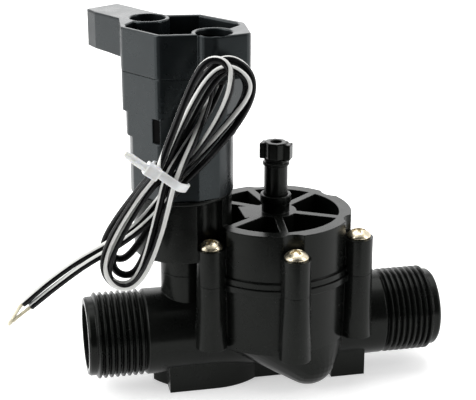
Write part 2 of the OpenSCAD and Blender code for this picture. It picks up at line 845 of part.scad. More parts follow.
// Two wire openings side by side, joined into one oval
module oval(r, z0, z1) {
    a = grommet_at[0];
    b = grommet_at[1];
    for (p = grommet_at) translate(p) disc(r, z0, z1);
    translate([a.x, a.y - r, z0]) cube([b.x - a.x, 2 * r, z1 - z0]);
}

module lever_arm() {
    low = arm_side - arm_w;
    rotate(arm_turn) translate([0, 0, cap_top - arm_h]) linear_extrude(arm_h) polygon([
        [shell_ri, low], [arm_reach, low], [arm_reach, arm_side - arm_chamfer.y],
        [arm_reach - arm_chamfer.x, arm_side], [shell_ri - 4, arm_side]
    ]);
}

module solenoid_cap() {
    color("#2c2e31") at_solenoid() difference() {
        union() {
            translate([0, 0, shell_top]) linear_extrude(cap_h) polygon(cap_plan);
            lever_arm();
        }
        difference() {
            translate([0, 0, shell_top + cap_floor_t])
                linear_extrude(cap_h) polygon(inset(shell_plan, cap_wall));
            for (s = [-1, 1])
                translate(s * well_at) disc(well_r + well_wall, shell_top, cap_top + 2);
        }
        for (s = [-1, 1]) translate(s * well_at) disc(well_r, well_floor, cap_top + 1);
        oval(wire_r + grommet_wall + fit_gap, shell_top - 1, shell_top + grommet_h);
    }
}

module lead_grommet() {
    color("#18191a") at_solenoid()
        oval(wire_r + grommet_wall, shell_top - grommet_drop, shell_top + grommet_h);
}

// Free stretches meet the hank square, with one wire diameter of straight run
function into_hank(from, route, hank) =
    concat([from], route, [hank[0] - tangent(hank, 0) * wire_d, hank[0]]);
function out_of_hank(hank, route, tip) =
    let (n = len(hank) - 1)
    concat([hank[n], hank[n] + tangent(hank, n) * wire_d], route, [tip]);

module lead_a_start() {
    color("#1a1a1a") at_lead() tube(into_hank(exit_a, route_a_start, hank_a), wire_r, free_sides);
}
module lead_b_start() {
    color("#1a1a1a") at_lead() tube(into_hank(exit_b, route_b_start, hank_b), wire_r, free_sides);
}
module lead_a_hank() { color("#e8e8e6") at_lead() tube(hank_a, wire_r, hank_sides); }
module lead_b_hank() { color("#1a1a1a") at_lead() tube(hank_b, wire_r, hank_sides); }
module lead_a_end() {
    color("#1a1a1a") at_lead() tube(out_of_hank(hank_a, route_a_end, tip_a), wire_r, free_sides);
}
module lead_b_end() {
    color("#1a1a1a") at_lead() tube(out_of_hank(hank_b, route_b_end, tip_b), wire_r, free_sides);
}

// Bare strand that leaves the insulation straight and then turns aside
function bare_run(tip, route, aside) =
    let (straight = tip + unit(tip - route[len(route) - 1]) * 2 * bare_r)
    [tip, straight, straight + unit(aside) * (bare_l - 2 * bare_r)];

module lead_tips() {
    color("#b98b52") at_lead() {
        tube(bare_run(tip_a, route_a_end, bare_to_a), bare_r, free_sides);
        tube(bare_run(tip_b, route_b_end, bare_to_b), bare_r, free_sides);
    }
}

module rounded(half, r) {
    square(2 * [half.x - r, half.y], center = true);
    square(2 * [half.x, half.y - r], center = true);
    for (sx = [-1, 1], sy = [-1, 1]) translate([sx * (half.x - r), sy * (half.y - r)]) circle(r);
}

module cable_tie() {
    inner = [waist_w + wire_r + tie_room, pitch_w + wire_r + tie_room];
    outer = inner + [tie_t, tie_t];
    color("#e9e7e0") at_lead() translate([waist.x, layer_y[1], waist.y]) rotate([0, tie_lean, 0]) {
        translate([0, 0, -tie_w / 2]) linear_extrude(tie_w) difference() {
            rounded(outer, tie_round + tie_t);
            rounded(inner, tie_round);
        }
        translate([-outer.x - tie_over, -inner.y - tie_head.y, -tie_head.z / 2]) cube(tie_head);
        translate([1 - outer.x - tie_over - tie_tail.x, 0.8 - inner.y - tie_head.y, -tie_tail.z / 2])
            cube(tie_tail);
    }
}

valve_body();
bonnet();
bonnet_screws();
diaphragm();
seat_washer();
diaphragm_support();
pressure_plate();
centre_bolt();
diaphragm_spring();
port_o_ring();
flow_stem();
stem_o_ring();
stem_gland();
flow_handle();
solenoid_base();
solenoid_o_ring();
core_tube();
fixed_core();
plunger();
plunger_seal();
plunger_spring();
coil_bobbin();
coil_winding();
flux_frame();
flux_washer();
solenoid_shell();
potting_fill();
solenoid_cap();
lead_grommet();
lead_a_start();
lead_a_hank();
lead_a_end();
lead_b_start();
lead_b_hank();
lead_b_end();
lead_tips();
cable_tie();
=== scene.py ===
import bpy
import bmesh
import json
import math
import numpy as np
from mathutils import Vector, Matrix


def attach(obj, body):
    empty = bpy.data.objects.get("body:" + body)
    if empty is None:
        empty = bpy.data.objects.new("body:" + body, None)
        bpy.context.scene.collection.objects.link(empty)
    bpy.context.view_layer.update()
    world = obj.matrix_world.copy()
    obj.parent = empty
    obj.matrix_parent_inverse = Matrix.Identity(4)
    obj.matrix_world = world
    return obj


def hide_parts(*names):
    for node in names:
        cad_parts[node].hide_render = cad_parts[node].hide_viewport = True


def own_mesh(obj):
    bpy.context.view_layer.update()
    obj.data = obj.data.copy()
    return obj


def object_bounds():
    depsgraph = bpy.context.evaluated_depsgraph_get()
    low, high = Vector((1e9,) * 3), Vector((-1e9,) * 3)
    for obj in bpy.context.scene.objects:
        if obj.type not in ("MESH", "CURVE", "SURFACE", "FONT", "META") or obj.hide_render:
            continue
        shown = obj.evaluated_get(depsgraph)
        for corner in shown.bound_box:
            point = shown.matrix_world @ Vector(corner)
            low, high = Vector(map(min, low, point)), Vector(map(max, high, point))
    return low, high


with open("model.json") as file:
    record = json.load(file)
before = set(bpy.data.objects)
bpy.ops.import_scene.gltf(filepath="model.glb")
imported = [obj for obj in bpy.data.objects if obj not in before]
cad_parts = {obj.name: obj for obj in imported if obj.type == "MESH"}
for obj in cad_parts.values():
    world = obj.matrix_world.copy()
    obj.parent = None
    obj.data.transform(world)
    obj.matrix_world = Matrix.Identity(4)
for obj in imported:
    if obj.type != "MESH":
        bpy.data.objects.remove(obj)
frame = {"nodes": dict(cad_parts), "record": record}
cad_box = [list(map(float, c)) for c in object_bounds()]
nodes = frame["nodes"]
MM = 0.001

# Camera at the photograph's viewing angle

VIEW_TURN = -0.2099
VIEW_RISE = 0.3451
CAMERA_AT = (-0.11441, -0.46807, 0.24412)
SENSOR_MM = 36
LENS_MM = 101.309
back = Vector((math.sin(VIEW_TURN) * math.cos(VIEW_RISE),
               -math.cos(VIEW_TURN) * math.cos(VIEW_RISE),
               math.sin(VIEW_RISE)))
cam = bpy.data.cameras.new("view_camera")
cam.sensor_width = SENSOR_MM
cam.lens = LENS_MM
cam.clip_start = 0.01
cam.clip_end = 20
cam_obj = bpy.data.objects.new("view_camera", cam)
bpy.context.collection.objects.link(cam_obj)
cam_obj.matrix_world = (Matrix.Translation(CAMERA_AT)
                        @ back.to_track_quat('Z', 'Y').to_matrix().to_4x4())
bpy.context.scene.camera = cam_obj


# Materials: noise scales are per metre, and bump depths are in metres

CLOUD_SCALE = 60
GLOSS_SCALE = 140
GRAIN_DEPTH = 0.00006
WAVE_DEPTH = 0.0004
METAL_CLOUD_SCALE = 300
SCRATCH_DEPTH = 0.00004


def tree_of(name):
    m = bpy.data.materials.new(name)
    m.use_nodes = True
    t = m.node_tree
    return m, t, t.nodes["Principled BSDF"]


def add(t, kind, **sets):
    n = t.nodes.new(kind)
    for k, v in sets.items():
        if k in n.inputs:
            n.inputs[k].default_value = v
        else:
            setattr(n, k, v)
    return n


def noise(t, scale, detail=3, rough=0.6, stretch=None):
    co = add(t, "ShaderNodeTexCoord")
    src = co.outputs["Object"]
    if stretch:
        mp = add(t, "ShaderNodeMapping")
        mp.inputs["Scale"].default_value = stretch
        t.links.new(src, mp.inputs["Vector"])
        src = mp.outputs["Vector"]
    n = add(t, "ShaderNodeTexNoise", Scale=scale, Detail=detail, Roughness=rough)
    t.links.new(src, n.inputs["Vector"])
    return n.outputs["Fac"]


def spread(t, fac, low, high, a=0.3, b=0.7):
    r = add(t, "ShaderNodeMapRange")
    r.inputs["From Min"].default_value = a
    r.inputs["From Max"].default_value = b
    r.inputs["To Min"].default_value = low
    r.inputs["To Max"].default_value = high
    t.links.new(fac, r.inputs["Value"])
    return r.outputs["Result"]


def two_tone(t, fac, c0, c1, a=0.35, b=0.65):
    r = add(t, "ShaderNodeValToRGB")
    r.color_ramp.elements[0].position = a
    r.color_ramp.elements[1].position = b
    r.color_ramp.elements[0].color = (*c0, 1)
    r.color_ramp.elements[1].color = (*c1, 1)
    t.links.new(fac, r.inputs["Fac"])
    return r.outputs["Color"]


def grain(t, b, layers, edge=0):
    last = None
    if edge:
        last = add(t, "ShaderNodeBevel", samples=6, Radius=edge * MM).outputs["Normal"]
    for fac, strength, dist in layers:
        n = add(t, "ShaderNodeBump", Strength=strength, Distance=dist)
        t.links.new(fac, n.inputs["Height"])
        if last:
            t.links.new(last, n.inputs["Normal"])
        last = n.outputs["Normal"]
    t.links.new(last, b.inputs["Normal"])


def moulded(name, c0, c1, rough, fine=2600, fine_bump=0.12, wave=90, wave_bump=0.10, specular=0.28,
            edge=0, tint=(1, 1, 1)):
    """Moulded plastic: cloudy tone, patchy gloss, fine mould grain and a slow surface wave."""
    m, t, b = tree_of(name)
    b.inputs["Specular IOR Level"].default_value = specular
    b.inputs["Specular Tint"].default_value = (*tint, 1)
    t.links.new(two_tone(t, noise(t, CLOUD_SCALE, 4), c0, c1), b.inputs["Base Color"])
    t.links.new(spread(t, noise(t, GLOSS_SCALE, 5), *rough), b.inputs["Roughness"])
    layers = [(noise(t, fine, 2), fine_bump, GRAIN_DEPTH),
              (noise(t, wave, 2), wave_bump, WAVE_DEPTH)]
    grain(t, b, layers, edge)
    return m


def metal(name, c0, c1, rough, stretch=(1, 1, 1), scale=900, bump=0.15):
    """Bare or plated metal: cloudy tone and a patchy gloss that stretch draws out along an axis."""
    m, t, b = tree_of(name)
    b.inputs["Metallic"].default_value = 1.0
    t.links.new(two_tone(t, noise(t, METAL_CLOUD_SCALE, 4), c0, c1), b.inputs["Base Color"])
    t.links.new(spread(t, noise(t, scale, 4, stretch=stretch), *rough), b.inputs["Roughness"])
    grain(t, b, [(noise(t, scale * 2, 3, stretch=stretch), bump, SCRATCH_DEPTH)])
    return m


MAT = {
    "body_plastic": moulded("body_plastic", (0.0030, 0.0034, 0.0031), (0.0050, 0.0055, 0.0050),
                            (0.19, 0.29), specular=0.14, edge=0.5, tint=(0.96, 1.0, 0.95)),
    "solenoid_plastic": moulded("solenoid_plastic", (0.0034, 0.0044, 0.0050), (0.0056, 0.0068, 0.0076),
                                (0.24, 0.34), specular=0.34, edge=0.6, tint=(0.86, 0.97, 1.0)),
    "rubber": moulded("rubber", (0.008, 0.008, 0.008), (0.014, 0.014, 0.014), (0.60, 0.78), fine=1800,
                      fine_bump=0.2, specular=0.35),
    "inner_plastic": moulded("inner_plastic", (0.62, 0.60, 0.54), (0.70, 0.68, 0.62), (0.38, 0.52)),
    "potting": moulded("potting", (0.007, 0.007, 0.008), (0.012, 0.012, 0.013), (0.18, 0.34),
                       wave_bump=0.3),
    "screw_plating": metal("screw_plating", (0.72, 0.63, 0.44), (0.82, 0.74, 0.57), (0.22, 0.38)),
    "steel": metal("steel", (0.44, 0.44, 0.45), (0.56, 0.56, 0.57), (0.25, 0.45), stretch=(1, 1, 8)),
    "tube_brass": metal("tube_brass", (0.62, 0.47, 0.20), (0.72, 0.58, 0.30), (0.2, 0.4),
                        stretch=(1, 1, 6)),
    "copper": metal("copper", (0.62, 0.30, 0.14), (0.75, 0.42, 0.22), (0.2, 0.4)),
    "wire_cover": moulded("wire_black", (0.0025, 0.0025, 0.003), (0.005, 0.005, 0.0055), (0.22, 0.34),
                          fine=3500, fine_bump=0.06, wave=200, wave_bump=0.12, specular=0.16),
}
TINNED = metal("tinned_strand", (0.50, 0.46, 0.34), (0.66, 0.62, 0.50), (0.25, 0.42))
WHITE = moulded("wire_white", (0.60, 0.60, 0.58), (0.72, 0.72, 0.70), (0.24, 0.38), fine=3500,
                fine_bump=0.06, wave=200, wave_bump=0.10)


def nylon():
    """Natural nylon: milky, a little translucent, faintly warm."""
    m, t, b = tree_of("nylon")
    b.inputs["Subsurface Weight"].default_value = 0.35
    b.inputs["Subsurface Radius"].default_value = (0.0022, 0.0020, 0.0016)
    b.inputs["Subsurface Scale"].default_value = 0.6
    milky = two_tone(t, noise(t, 240, 4), (0.74, 0.75, 0.75), (0.84, 0.85, 0.86))
    t.links.new(milky, b.inputs["Base Color"])
    t.links.new(spread(t, noise(t, 420, 4), 0.26, 0.44), b.inputs["Roughness"])
    grain(t, b, [(noise(t, 1500, 3), 0.14, GRAIN_DEPTH)])
    return m


MAT["nylon"] = nylon()

slot_of = {s["node"]: s["material_slot"] for s in frame["record"]["subparts"]}
for name, obj in nodes.items():
    obj.data.materials.clear()
    obj.data.materials.append(MAT[slot_of.get(name, "body_plastic")])

# Rounded edges: bevel widths in millimetres by node, then lengths in metres and angles in radians

SOFT_EDGE = {"stem_gland": 0.30, "flow_handle": 0.45, "flow_stem": 0.25,
             "solenoid_base": 0.35, "solenoid_shell": 1.8, "solenoid_cap": 1.8, "bonnet_screws": 0.20,
             "lead_grommet": 0.30}
UPRIGHT_ROUND = ("solenoid_shell", "solenoid_cap")
RIM_Z = 0.1400
SHARP_CORNER = (-0.0428, 0.0215, 0.1407)
SHARP_RADIUS = 0.0055
UPRIGHT_COSINE = 0.98
CORNER_STARTS = 0.3
CORNER_FULL = 0.9
CORNER_LIMIT = 1.7
EDGE_STARTS = 0.66
WELD_GAP = 0.000002
FLAT_ANGLE = math.radians(0.6)
BEVEL_ANGLE = math.radians(38)


def upright_weights(small, rim, rim_z, keep_sharp):
    """Bevel weights: large on the outer upright corners, middling above rim_z, small on the other edges.

    Round the point keep_sharp, where the edges are too short for a bevel, they are nothing.
    """
    g = bpy.data.node_groups.new("upright_weights", 'GeometryNodeTree')
    g.interface.new_socket("Geometry", in_out='INPUT', socket_type='NodeSocketGeometry')
    g.interface.new_socket("Geometry", in_out='OUTPUT', socket_type='NodeSocketGeometry')

    def math_node(kind, a, b=None):
        n = g.nodes.new("ShaderNodeMath")
        n.operation = kind
        for sock, v in zip(n.inputs, (a, b)):
            if isinstance(v, (int, float)):
                sock.default_value = v
            elif v is not None:
                g.links.new(v, sock)
        return n.outputs[0]

    ends = g.nodes.new("GeometryNodeInputMeshEdgeVertices")
    gap = g.nodes.new("ShaderNodeVectorMath")
    gap.operation = 'SUBTRACT'
    g.links.new(ends.outputs["Position 1"], gap.inputs[0])
    g.links.new(ends.outputs["Position 2"], gap.inputs[1])
    along = g.nodes.new("ShaderNodeVectorMath")
    along.operation = 'NORMALIZE'
    g.links.new(gap.outputs[0], along.inputs[0])
    xyz = g.nodes.new("ShaderNodeSeparateXYZ")
    g.links.new(along.outputs[0], xyz.inputs[0])
    turn = g.nodes.new("GeometryNodeInputMeshEdgeAngle")
    upright = math_node('GREATER_THAN', math_node('ABSOLUTE', xyz.outputs["Z"]), UPRIGHT_COSINE)
    outer = math_node('LESS_THAN', turn.outputs["Signed Angle"], CORNER_LIMIT)
    ramp = g.nodes.new("ShaderNodeMapRange")
    ramp.inputs["From Min"].default_value = CORNER_STARTS
    ramp.inputs["From Max"].default_value = CORNER_FULL
    g.links.new(turn.outputs["Signed Angle"], ramp.inputs["Value"])
    big = math_node('MULTIPLY', math_node('MULTIPLY', upright, outer), ramp.outputs["Result"])
    low = g.nodes.new("ShaderNodeSeparateXYZ")
    g.links.new(ends.outputs["Position 1"], low.inputs[0])
    high = g.nodes.new("ShaderNodeSeparateXYZ")
    g.links.new(ends.outputs["Position 2"], high.inputs[0])
    on_rim = math_node('GREATER_THAN', math_node('MINIMUM', low.outputs["Z"], high.outputs["Z"]), rim_z)
    size = math_node('ADD', math_node('MULTIPLY', on_rim, rim - small), small)
    creased = math_node('GREATER_THAN', turn.outputs["Unsigned Angle"], EDGE_STARTS)
    rest = math_node('MULTIPLY', creased, size)
    store = g.nodes.new("GeometryNodeStoreNamedAttribute")
    store.data_type = 'FLOAT'
    store.domain = 'EDGE'
    store.inputs["Name"].default_value = "bevel_weight_edge"
    apart = g.nodes.new("ShaderNodeVectorMath")
    apart.operation = 'DISTANCE'
    g.links.new(ends.outputs["Position 1"], apart.inputs[0])
    apart.inputs[1].default_value = keep_sharp
    clear = math_node('GREATER_THAN', apart.outputs["Value"], SHARP_RADIUS)
    g.links.new(math_node('MULTIPLY', math_node('MAXIMUM', big, rest), clear), store.inputs["Value"])
    start = g.nodes.new("NodeGroupInput")
    end = g.nodes.new("NodeGroupOutput")
    g.links.new(start.outputs[0], store.inputs["Geometry"])
    g.links.new(store.outputs["Geometry"], end.inputs[0])
    return g


WEIGHTS = upright_weights(small=0.2, rim=0.36, rim_z=RIM_Z, keep_sharp=SHARP_CORNER)
for name, width in SOFT_EDGE.items():
    weld = nodes[name].modifiers.new("join", 'WELD')
    weld.merge_threshold = WELD_GAP
    flat = nodes[name].modifiers.new("flat", 'DECIMATE')
    flat.decimate_type = 'DISSOLVE'
    flat.angle_limit = FLAT_ANGLE
    if name in UPRIGHT_ROUND:
        nodes[name].modifiers.new("weights", 'NODES').node_group = WEIGHTS
    bev = nodes[name].modifiers.new("edge", 'BEVEL')
    bev.width = width * MM
    bev.segments = 3 if name in UPRIGHT_ROUND else 2
    bev.limit_method = 'WEIGHT' if name in UPRIGHT_ROUND else 'ANGLE'
    bev.angle_limit = BEVEL_ANGLE
    bev.use_clamp_overlap = False
    wn = nodes[name].modifiers.new("normals", 'WEIGHTED_NORMAL')
    wn.keep_sharp = True
    wn.weight = 60


# Pieces built here

def piece(name, verts, faces, mats, index=None):
    """A smooth mesh object in metres, with index naming each face's material."""
    me = bpy.data.meshes.new(name)
    me.from_pydata([tuple(v) for v in verts], [], faces)
    for m in mats:
        me.materials.append(m)
    me.polygons.foreach_set("use_smooth", [True] * len(faces))
    if index is not None:
        me.polygons.foreach_set("material_index", index)
    me.update()
    ob = bpy.data.objects.new(name, me)
    bpy.context.collection.objects.link(ob)
    return ob


def curve_through(pts, step):
    """Centripetal Catmull-Rom curve through pts, resampled evenly."""
    p = np.asarray(pts, float)
    p = np.vstack([2 * p[0] - p[1], p, 2 * p[-1] - p[-2]])
    out = []
    for i in range(1, len(p) - 2):
        q = p[i - 1:i + 3]
        k = np.cumsum([0] + [np.linalg.norm(q[j + 1] - q[j]) ** 0.5 for j in range(3)])
        for t in np.linspace(k[1], k[2], 10, endpoint=False):
            a = [((k[j + 1] - t) * q[j] + (t - k[j]) * q[j + 1]) / (k[j + 1] - k[j]) for j in range(3)]
            b = [((k[j + 2] - t) * a[j] + (t - k[j]) * a[j + 1]) / (k[j + 2] - k[j]) for j in range(2)]
            out.append(((k[2] - t) * b[0] + (t - k[1]) * b[1]) / (k[2] - k[1]))
    out = np.array(out + [p[-2]])
    d = np.concatenate([[0], np.cumsum(np.linalg.norm(np.diff(out, axis=0), axis=1))])
    s = np.linspace(0, d[-1], int(round(d[-1] / step)) + 1)
    return np.stack([np.interp(s, d, out[:, j]) for j in range(3)], 1), s


def unit(v):
    return v / np.maximum(np.linalg.norm(v, axis=-1, keepdims=True), 1e-12)


def ring_faces(n, sides):
    """Faces of a closed tube of n rings, with a cap at each end."""
    f = []
    for i in range(n - 1):
        for j in range(sides):
            k = (j + 1) % sides
            f.append((i * sides + j, i * sides + k, (i + 1) * sides + k, (i + 1) * sides + j))
    return f + [tuple(reversed(range(sides))), tuple((n - 1) * sides + j for j in range(sides))]


def rings_round(c, u, v, radius, angles):
    """Rings of points about the line c, in the plane of u and v at each of its points."""
    cos = np.cos(angles)[None, :, None]
    sin = np.sin(angles)[None, :, None]
    return c[:, None] + radius * (cos * u[:, None] + sin * v[:, None])


def square_to(d, t):
    """d with its part along the tangent t taken out."""
    return unit(d - (d * t).sum(1)[:, None] * t)


# A wire's make, in millimetres
WIRE_SIDES = 24
STRIPE_SIDES = 5
STRIPE_EDGE = math.radians(-37.5)
WIRE_RADIUS = 1.3
WIRE_STEP = 0.8


def striped_wire(name, route, keys):
    """One insulated wire: black, with a white stripe over a fifth of its skin, turned along it by keys."""
    c, s = curve_through(route, WIRE_STEP)
    t = unit(np.gradient(c, axis=0))
    at = np.array([k[0] for k in keys], float)
    d = np.stack([np.interp(s, at, [k[1][j] for k in keys]) for j in range(3)], 1)
    d = square_to(d, t)
    for _ in range(6):
        d[1:-1] = unit(d[:-2] + 2 * d[1:-1] + d[2:])
        d = square_to(d, t)
    angles = STRIPE_EDGE + np.arange(WIRE_SIDES) * 2 * math.pi / WIRE_SIDES
    rings = rings_round(c, d, np.cross(t, d), WIRE_RADIUS, angles)
    faces = ring_faces(len(c), WIRE_SIDES)
    index = [int(j < STRIPE_SIDES) for _ in range(len(c) - 1) for j in range(WIRE_SIDES)] + [0, 0]
    ob = piece(name, (rings * MM).reshape(-1, 3), faces, [MAT["wire_cover"], WHITE], index)
    return ob, c, s[-1]


# Wires: each leaves the grommet, makes two long turns through the tie and ends free, all in millimetres

LEAN = math.radians(36)
HUB = np.array([-46.2, -28.6, 93.6])
ACROSS = np.array([math.cos(LEAN), 0, -math.sin(LEAN)])
DEPTH = np.array([0, 1, 0])
ALONG = np.array([math.sin(LEAN), 0, math.cos(LEAN)])
LOBE_STEPS = 16

# start and end are points of the part's own frame. ties are five places at the tie, as across and depth.
# Each lobe is its tip, as across, depth and along, and then three pairs for the way out and the way back:
# belly, how far the side stands out, fullness, how far along it stays wide, and sway, its move in depth.
WIRE_A = {
    "start": [
        (-28.1, -19.2, 123.2), (-30.2, -22.7, 117.7), (-33.6, -27.0, 111.6), (-37.2, -30.1, 105.2),
    ],
    "ties": [
        (2.6, -4.8), (-4.8, -3.1), (3.4, 1.9), (0.1, 3.2), (5.3, 7.3),
    ],
    "lobes": [
        ((6.1, -5.2, -42.2), (7.6, 2.6), (0.03, 0.08), (-0.5, 1.0)),
        ((-7.9, -3.4, 44.3), (-6.4, -2.3), (0.07, 0.01), (-0.1, 3.0)),
        ((6.7, 2.2, -39.7), (6.6, 2.3), (0.09, 0.00), (0.1, -2.6)),
        ((1.4, 4.6, 43.5), (-4.6, -4.9), (0.07, 0.05), (-0.4, 2.2)),
    ],
    "end": [
        (-48.9, -21.6, 81.4), (-57.6, -25.2, 74.1), (-68.2, -27.2, 68.8), (-79.0, -28.5, 63.7),
        (-89.2, -29.7, 57.4), (-98.7, -30.6, 50.2),
    ],
}
WIRE_B = {
    "start": [
        (-24.8, -19.2, 123.2), (-28.1, -20.7, 116.9), (-32.6, -24.0, 111.1), (-37.6, -27.2, 105.8),
    ],
    "ties": [
        (-0.6, -3.4), (-2.4, -0.8), (5.5, 4.5), (-3.9, 1.8), (6.3, -0.5),
    ],
    "lobes": [
        ((6.7, -1.4, -42.6), (9.4, 2.2), (0.06, 0.02), (-0.3, 3.3)),
        ((-0.2, -0.4, 44.2), (-6.0, -3.4), (0.06, 0.09), (0.7, 3.0)),
        ((1.8, 6.6, -37.1), (2.9, 2.0), (0.12, 0.04), (0.1, -0.7)),
        ((-1.0, 2.4, 46.7), (-5.1, -6.4), (0.05, 0.06), (0.5, -1.7)),
    ],
    "end": [
        (-47.1, -29.3, 83.1), (-55.8, -29.2, 74.9), (-65.8, -29.4, 68.3), (-76.4, -29.8, 62.6),
        (-86.4, -30.2, 56.0), (-96.0, -30.6, 48.9),
    ],
}


def at_tie(across, depth, along):
    """A place in the tie's axes, as a point of the part's own frame."""
    return HUB + across * ACROSS + depth * DEPTH + along * ALONG


def lobe(enter, leave, tip, belly, full, sway):
    """Half a turn of the hank: from the tie out to its tip and back, in the tie's axes."""
    turn = np.linspace(0, math.pi, LOBE_STEPS + 1)
    home = (1 - np.cos(turn)) / 2
    reach = np.sin(turn)

    def ease(pair):
        return pair[0] * (1 - home) + pair[1] * home

    def spread_out(k, bulge):
        middle = (enter[k] + leave[k]) / 2
        base = enter[k] + (leave[k] - enter[k]) * home
        return base + (tip[k] - middle) * reach ** 2 + ease(bulge) * np.sin(2 * turn)

    along = tip[2] * (reach + ease(full) * np.sin(3 * turn)) / (1 - ease(full))
    return np.stack([spread_out(0, belly), spread_out(1, sway), along], 1)


def whole_route(wire):
    """The points of a whole wire, from the grommet to its cut end, in the part's own frame."""
    ties = wire["ties"]
    lobes = [lobe(ties[k], ties[k + 1], *sizes) for k, sizes in enumerate(wire["lobes"])]
    turns = np.vstack(lobes[:1] + [later[1:] for later in lobes[1:]])
    placed = at_tie(turns[:, :1], turns[:, 1:2], turns[:, 2:])
    return np.vstack([wire["start"], placed, wire["end"]])


# Where the white stripe faces: millimetres along the wire, and a direction
STRIPE_A = [
    (0, (-0.76, -0.59, 0.26)), (29, (-0.74, -0.61, 0.27)), (41, (-0.20, -0.95, 0.24)),
    (55, (0.26, -0.95, 0.15)), (74, (0.21, -0.97, -0.11)), (84, (-0.15, -0.94, -0.29)),
    (97, (0.59, -0.80, -0.08)), (117, (0.63, -0.77, 0.11)), (131, (0.55, -0.80, 0.24)),
    (134, (0.12, -0.94, 0.32)), (137, (-0.90, -0.32, 0.30)), (141, (-0.79, 0.61, -0.04)),
    (170, (-0.75, 0.64, 0.18)), (182, (-0.12, -0.34, 0.93)), (192, (-0.51, -0.70, 0.50)),
    (201, (-0.73, -0.51, 0.45)), (219, (-0.73, -0.43, 0.54)), (232, (-0.11, 0.99, -0.12)),
    (243, (0.40, 0.92, -0.04)), (276, (0.20, 0.96, 0.19)), (291, (0.30, 0.95, -0.04)),
    (312, (-0.11, 0.99, -0.12)), (320, (-0.74, 0.64, 0.22)), (338, (-0.91, -0.05, 0.41)),
    (357, (-0.79, -0.00, 0.61)), (366, (-0.08, 0.15, 0.99)), (374, (0.78, 0.62, -0.05)),
    (397, (0.31, 0.94, 0.12)), (419, (-0.41, 0.11, 0.90)), (428, (-0.52, -0.25, 0.82)),
    (448, (-0.48, -0.36, 0.80)), (488, (-0.50, -0.34, 0.80)),
]
STRIPE_B = [
    (1, (-0.93, -0.31, 0.18)), (28, (-0.93, -0.31, 0.18)), (47, (-0.86, -0.28, 0.44)),
    (62, (-0.83, -0.19, 0.52)), (78, (-0.68, -0.27, 0.68)), (86, (-0.05, -0.25, 0.97)),
    (96, (-0.85, -0.34, 0.40)), (112, (-0.79, -0.35, 0.50)), (131, (-0.75, -0.41, 0.52)),
    (155, (-0.73, -0.51, 0.45)), (171, (-0.62, -0.46, 0.64)), (182, (-0.10, -0.48, 0.87)),
    (192, (0.33, -0.86, 0.38)), (204, (0.09, -0.80, 0.60)), (226, (-0.45, -0.67, 0.59)),
    (235, (0.00, 1.00, -0.02)), (248, (0.40, 0.92, -0.04)), (271, (0.20, 0.96, 0.19)),
    (283, (0.45, 0.67, -0.59)), (303, (0.45, 0.67, -0.59)), (312, (-0.01, 0.94, -0.33)),
    (323, (-0.75, 0.66, 0.06)), (347, (-0.78, 0.55, 0.30)), (364, (-0.02, -0.07, 1.00)),
    (368, (0.35, 0.15, 0.92)), (379, (-0.32, 0.93, -0.20)), (401, (-0.53, 0.68, 0.50)),
    (420, (-0.60, 0.03, 0.80)), (437, (-0.52, -0.25, 0.82)), (457, (-0.48, -0.36, 0.80)),
    (490, (-0.50, -0.34, 0.80)),
]

# Bare strands at the cut ends, in millimetres and radians
STRANDS = 7
STRAND_RADIUS = 0.24
STRAND_SIDES = 8
LAY_RADIUS = 0.52
LAY_TURN = 5.5
FRAY_FROM = 0.75
FRAY = 0.35
TIP_A = np.array([-5.4, 0.4, -8.0])
TIP_B = np.array([-7.4, 0.2, -5.6])


def strands(tip, came, to):
    """Bare twisted strands from a wire's cut end to the point to, with a slight fray at the end."""
    way = [tip - came * 0.6, tip + came * 0.8, tip + (to - tip) * 0.45 + came * 0.6, to]
    c, s = curve_through(way, 0.35)
    t = unit(np.gradient(c, axis=0))
    u = unit(np.cross(t, np.array([0.3, 1.0, 0.2])))
    v = np.cross(t, u)
    f = s / s[-1]
    angles = np.arange(STRAND_SIDES) * 2 * math.pi / STRAND_SIDES
    verts, faces = [], []
    for k in range(STRANDS):
        p = c
        if k < STRANDS - 1:
            turn = 2 * math.pi * k / (STRANDS - 1) + LAY_TURN * f
            lay = LAY_RADIUS * (1 - 0.25 * np.sin(math.pi * f))
            out = lay + FRAY * np.maximum(f - FRAY_FROM, 0) * (k % 3)
            p = c + (out * np.cos(turn))[:, None] * u + (out * np.sin(turn))[:, None] * v
        p = p[:len(p) - (k * 2) % 5]
        along = unit(np.gradient(p, axis=0))
        side = unit(np.cross(along, np.array([0.2, 0.9, 0.4])))
        ring = rings_round(p, side, np.cross(along, side), STRAND_RADIUS, angles)
        base = len(verts)
        verts += list(ring.reshape(-1, 3) * MM)
        faces += [tuple(i + base for i in fc) for fc in ring_faces(len(p), STRAND_SIDES)]
    return verts, faces


wire_a, path_a, long_a = striped_wire("lead_a", whole_route(WIRE_A), STRIPE_A)
wire_b, path_b, long_b = striped_wire("lead_b", whole_route(WIRE_B), STRIPE_B)
tip_v, tip_f = [], []
for path, to in ((path_a, TIP_A), (path_b, TIP_B)):
    v, f = strands(path[-1], unit(path[-1] - path[-4]), path[-1] + to)
    tip_f += [tuple(i + len(tip_v) for i in fc) for fc in f]
    tip_v += v
tips = piece("lead_tip_strands", tip_v, tip_f, [TINNED])
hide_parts("lead_tips")
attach(tips, "solenoid")
for wire, path, long, mark in ((wire_a, path_a, long_a, "a"), (wire_b, path_b, long_b, "b")):
    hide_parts("lead_%s_start" % mark, "lead_%s_hank" % mark, "lead_%s_end" % mark)
    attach(wire, "solenoid")


# Cable tie: a band drawn round the strands, with a ratchet head in front and a cut tail

BAND_STEP = 3
BAND_THICK = 1.0
BAND_WIDE = 3.1
BAND_GAP = 0.15
NEAR_ALONG = 2.2
NEAR_HUB = 22
SECTION = [(0, -0.5), (0.10, -0.5), (0.85, -0.5), (1, -0.42),
           (1, 0.42), (0.85, 0.5), (0.10, 0.5), (0, 0.5)]

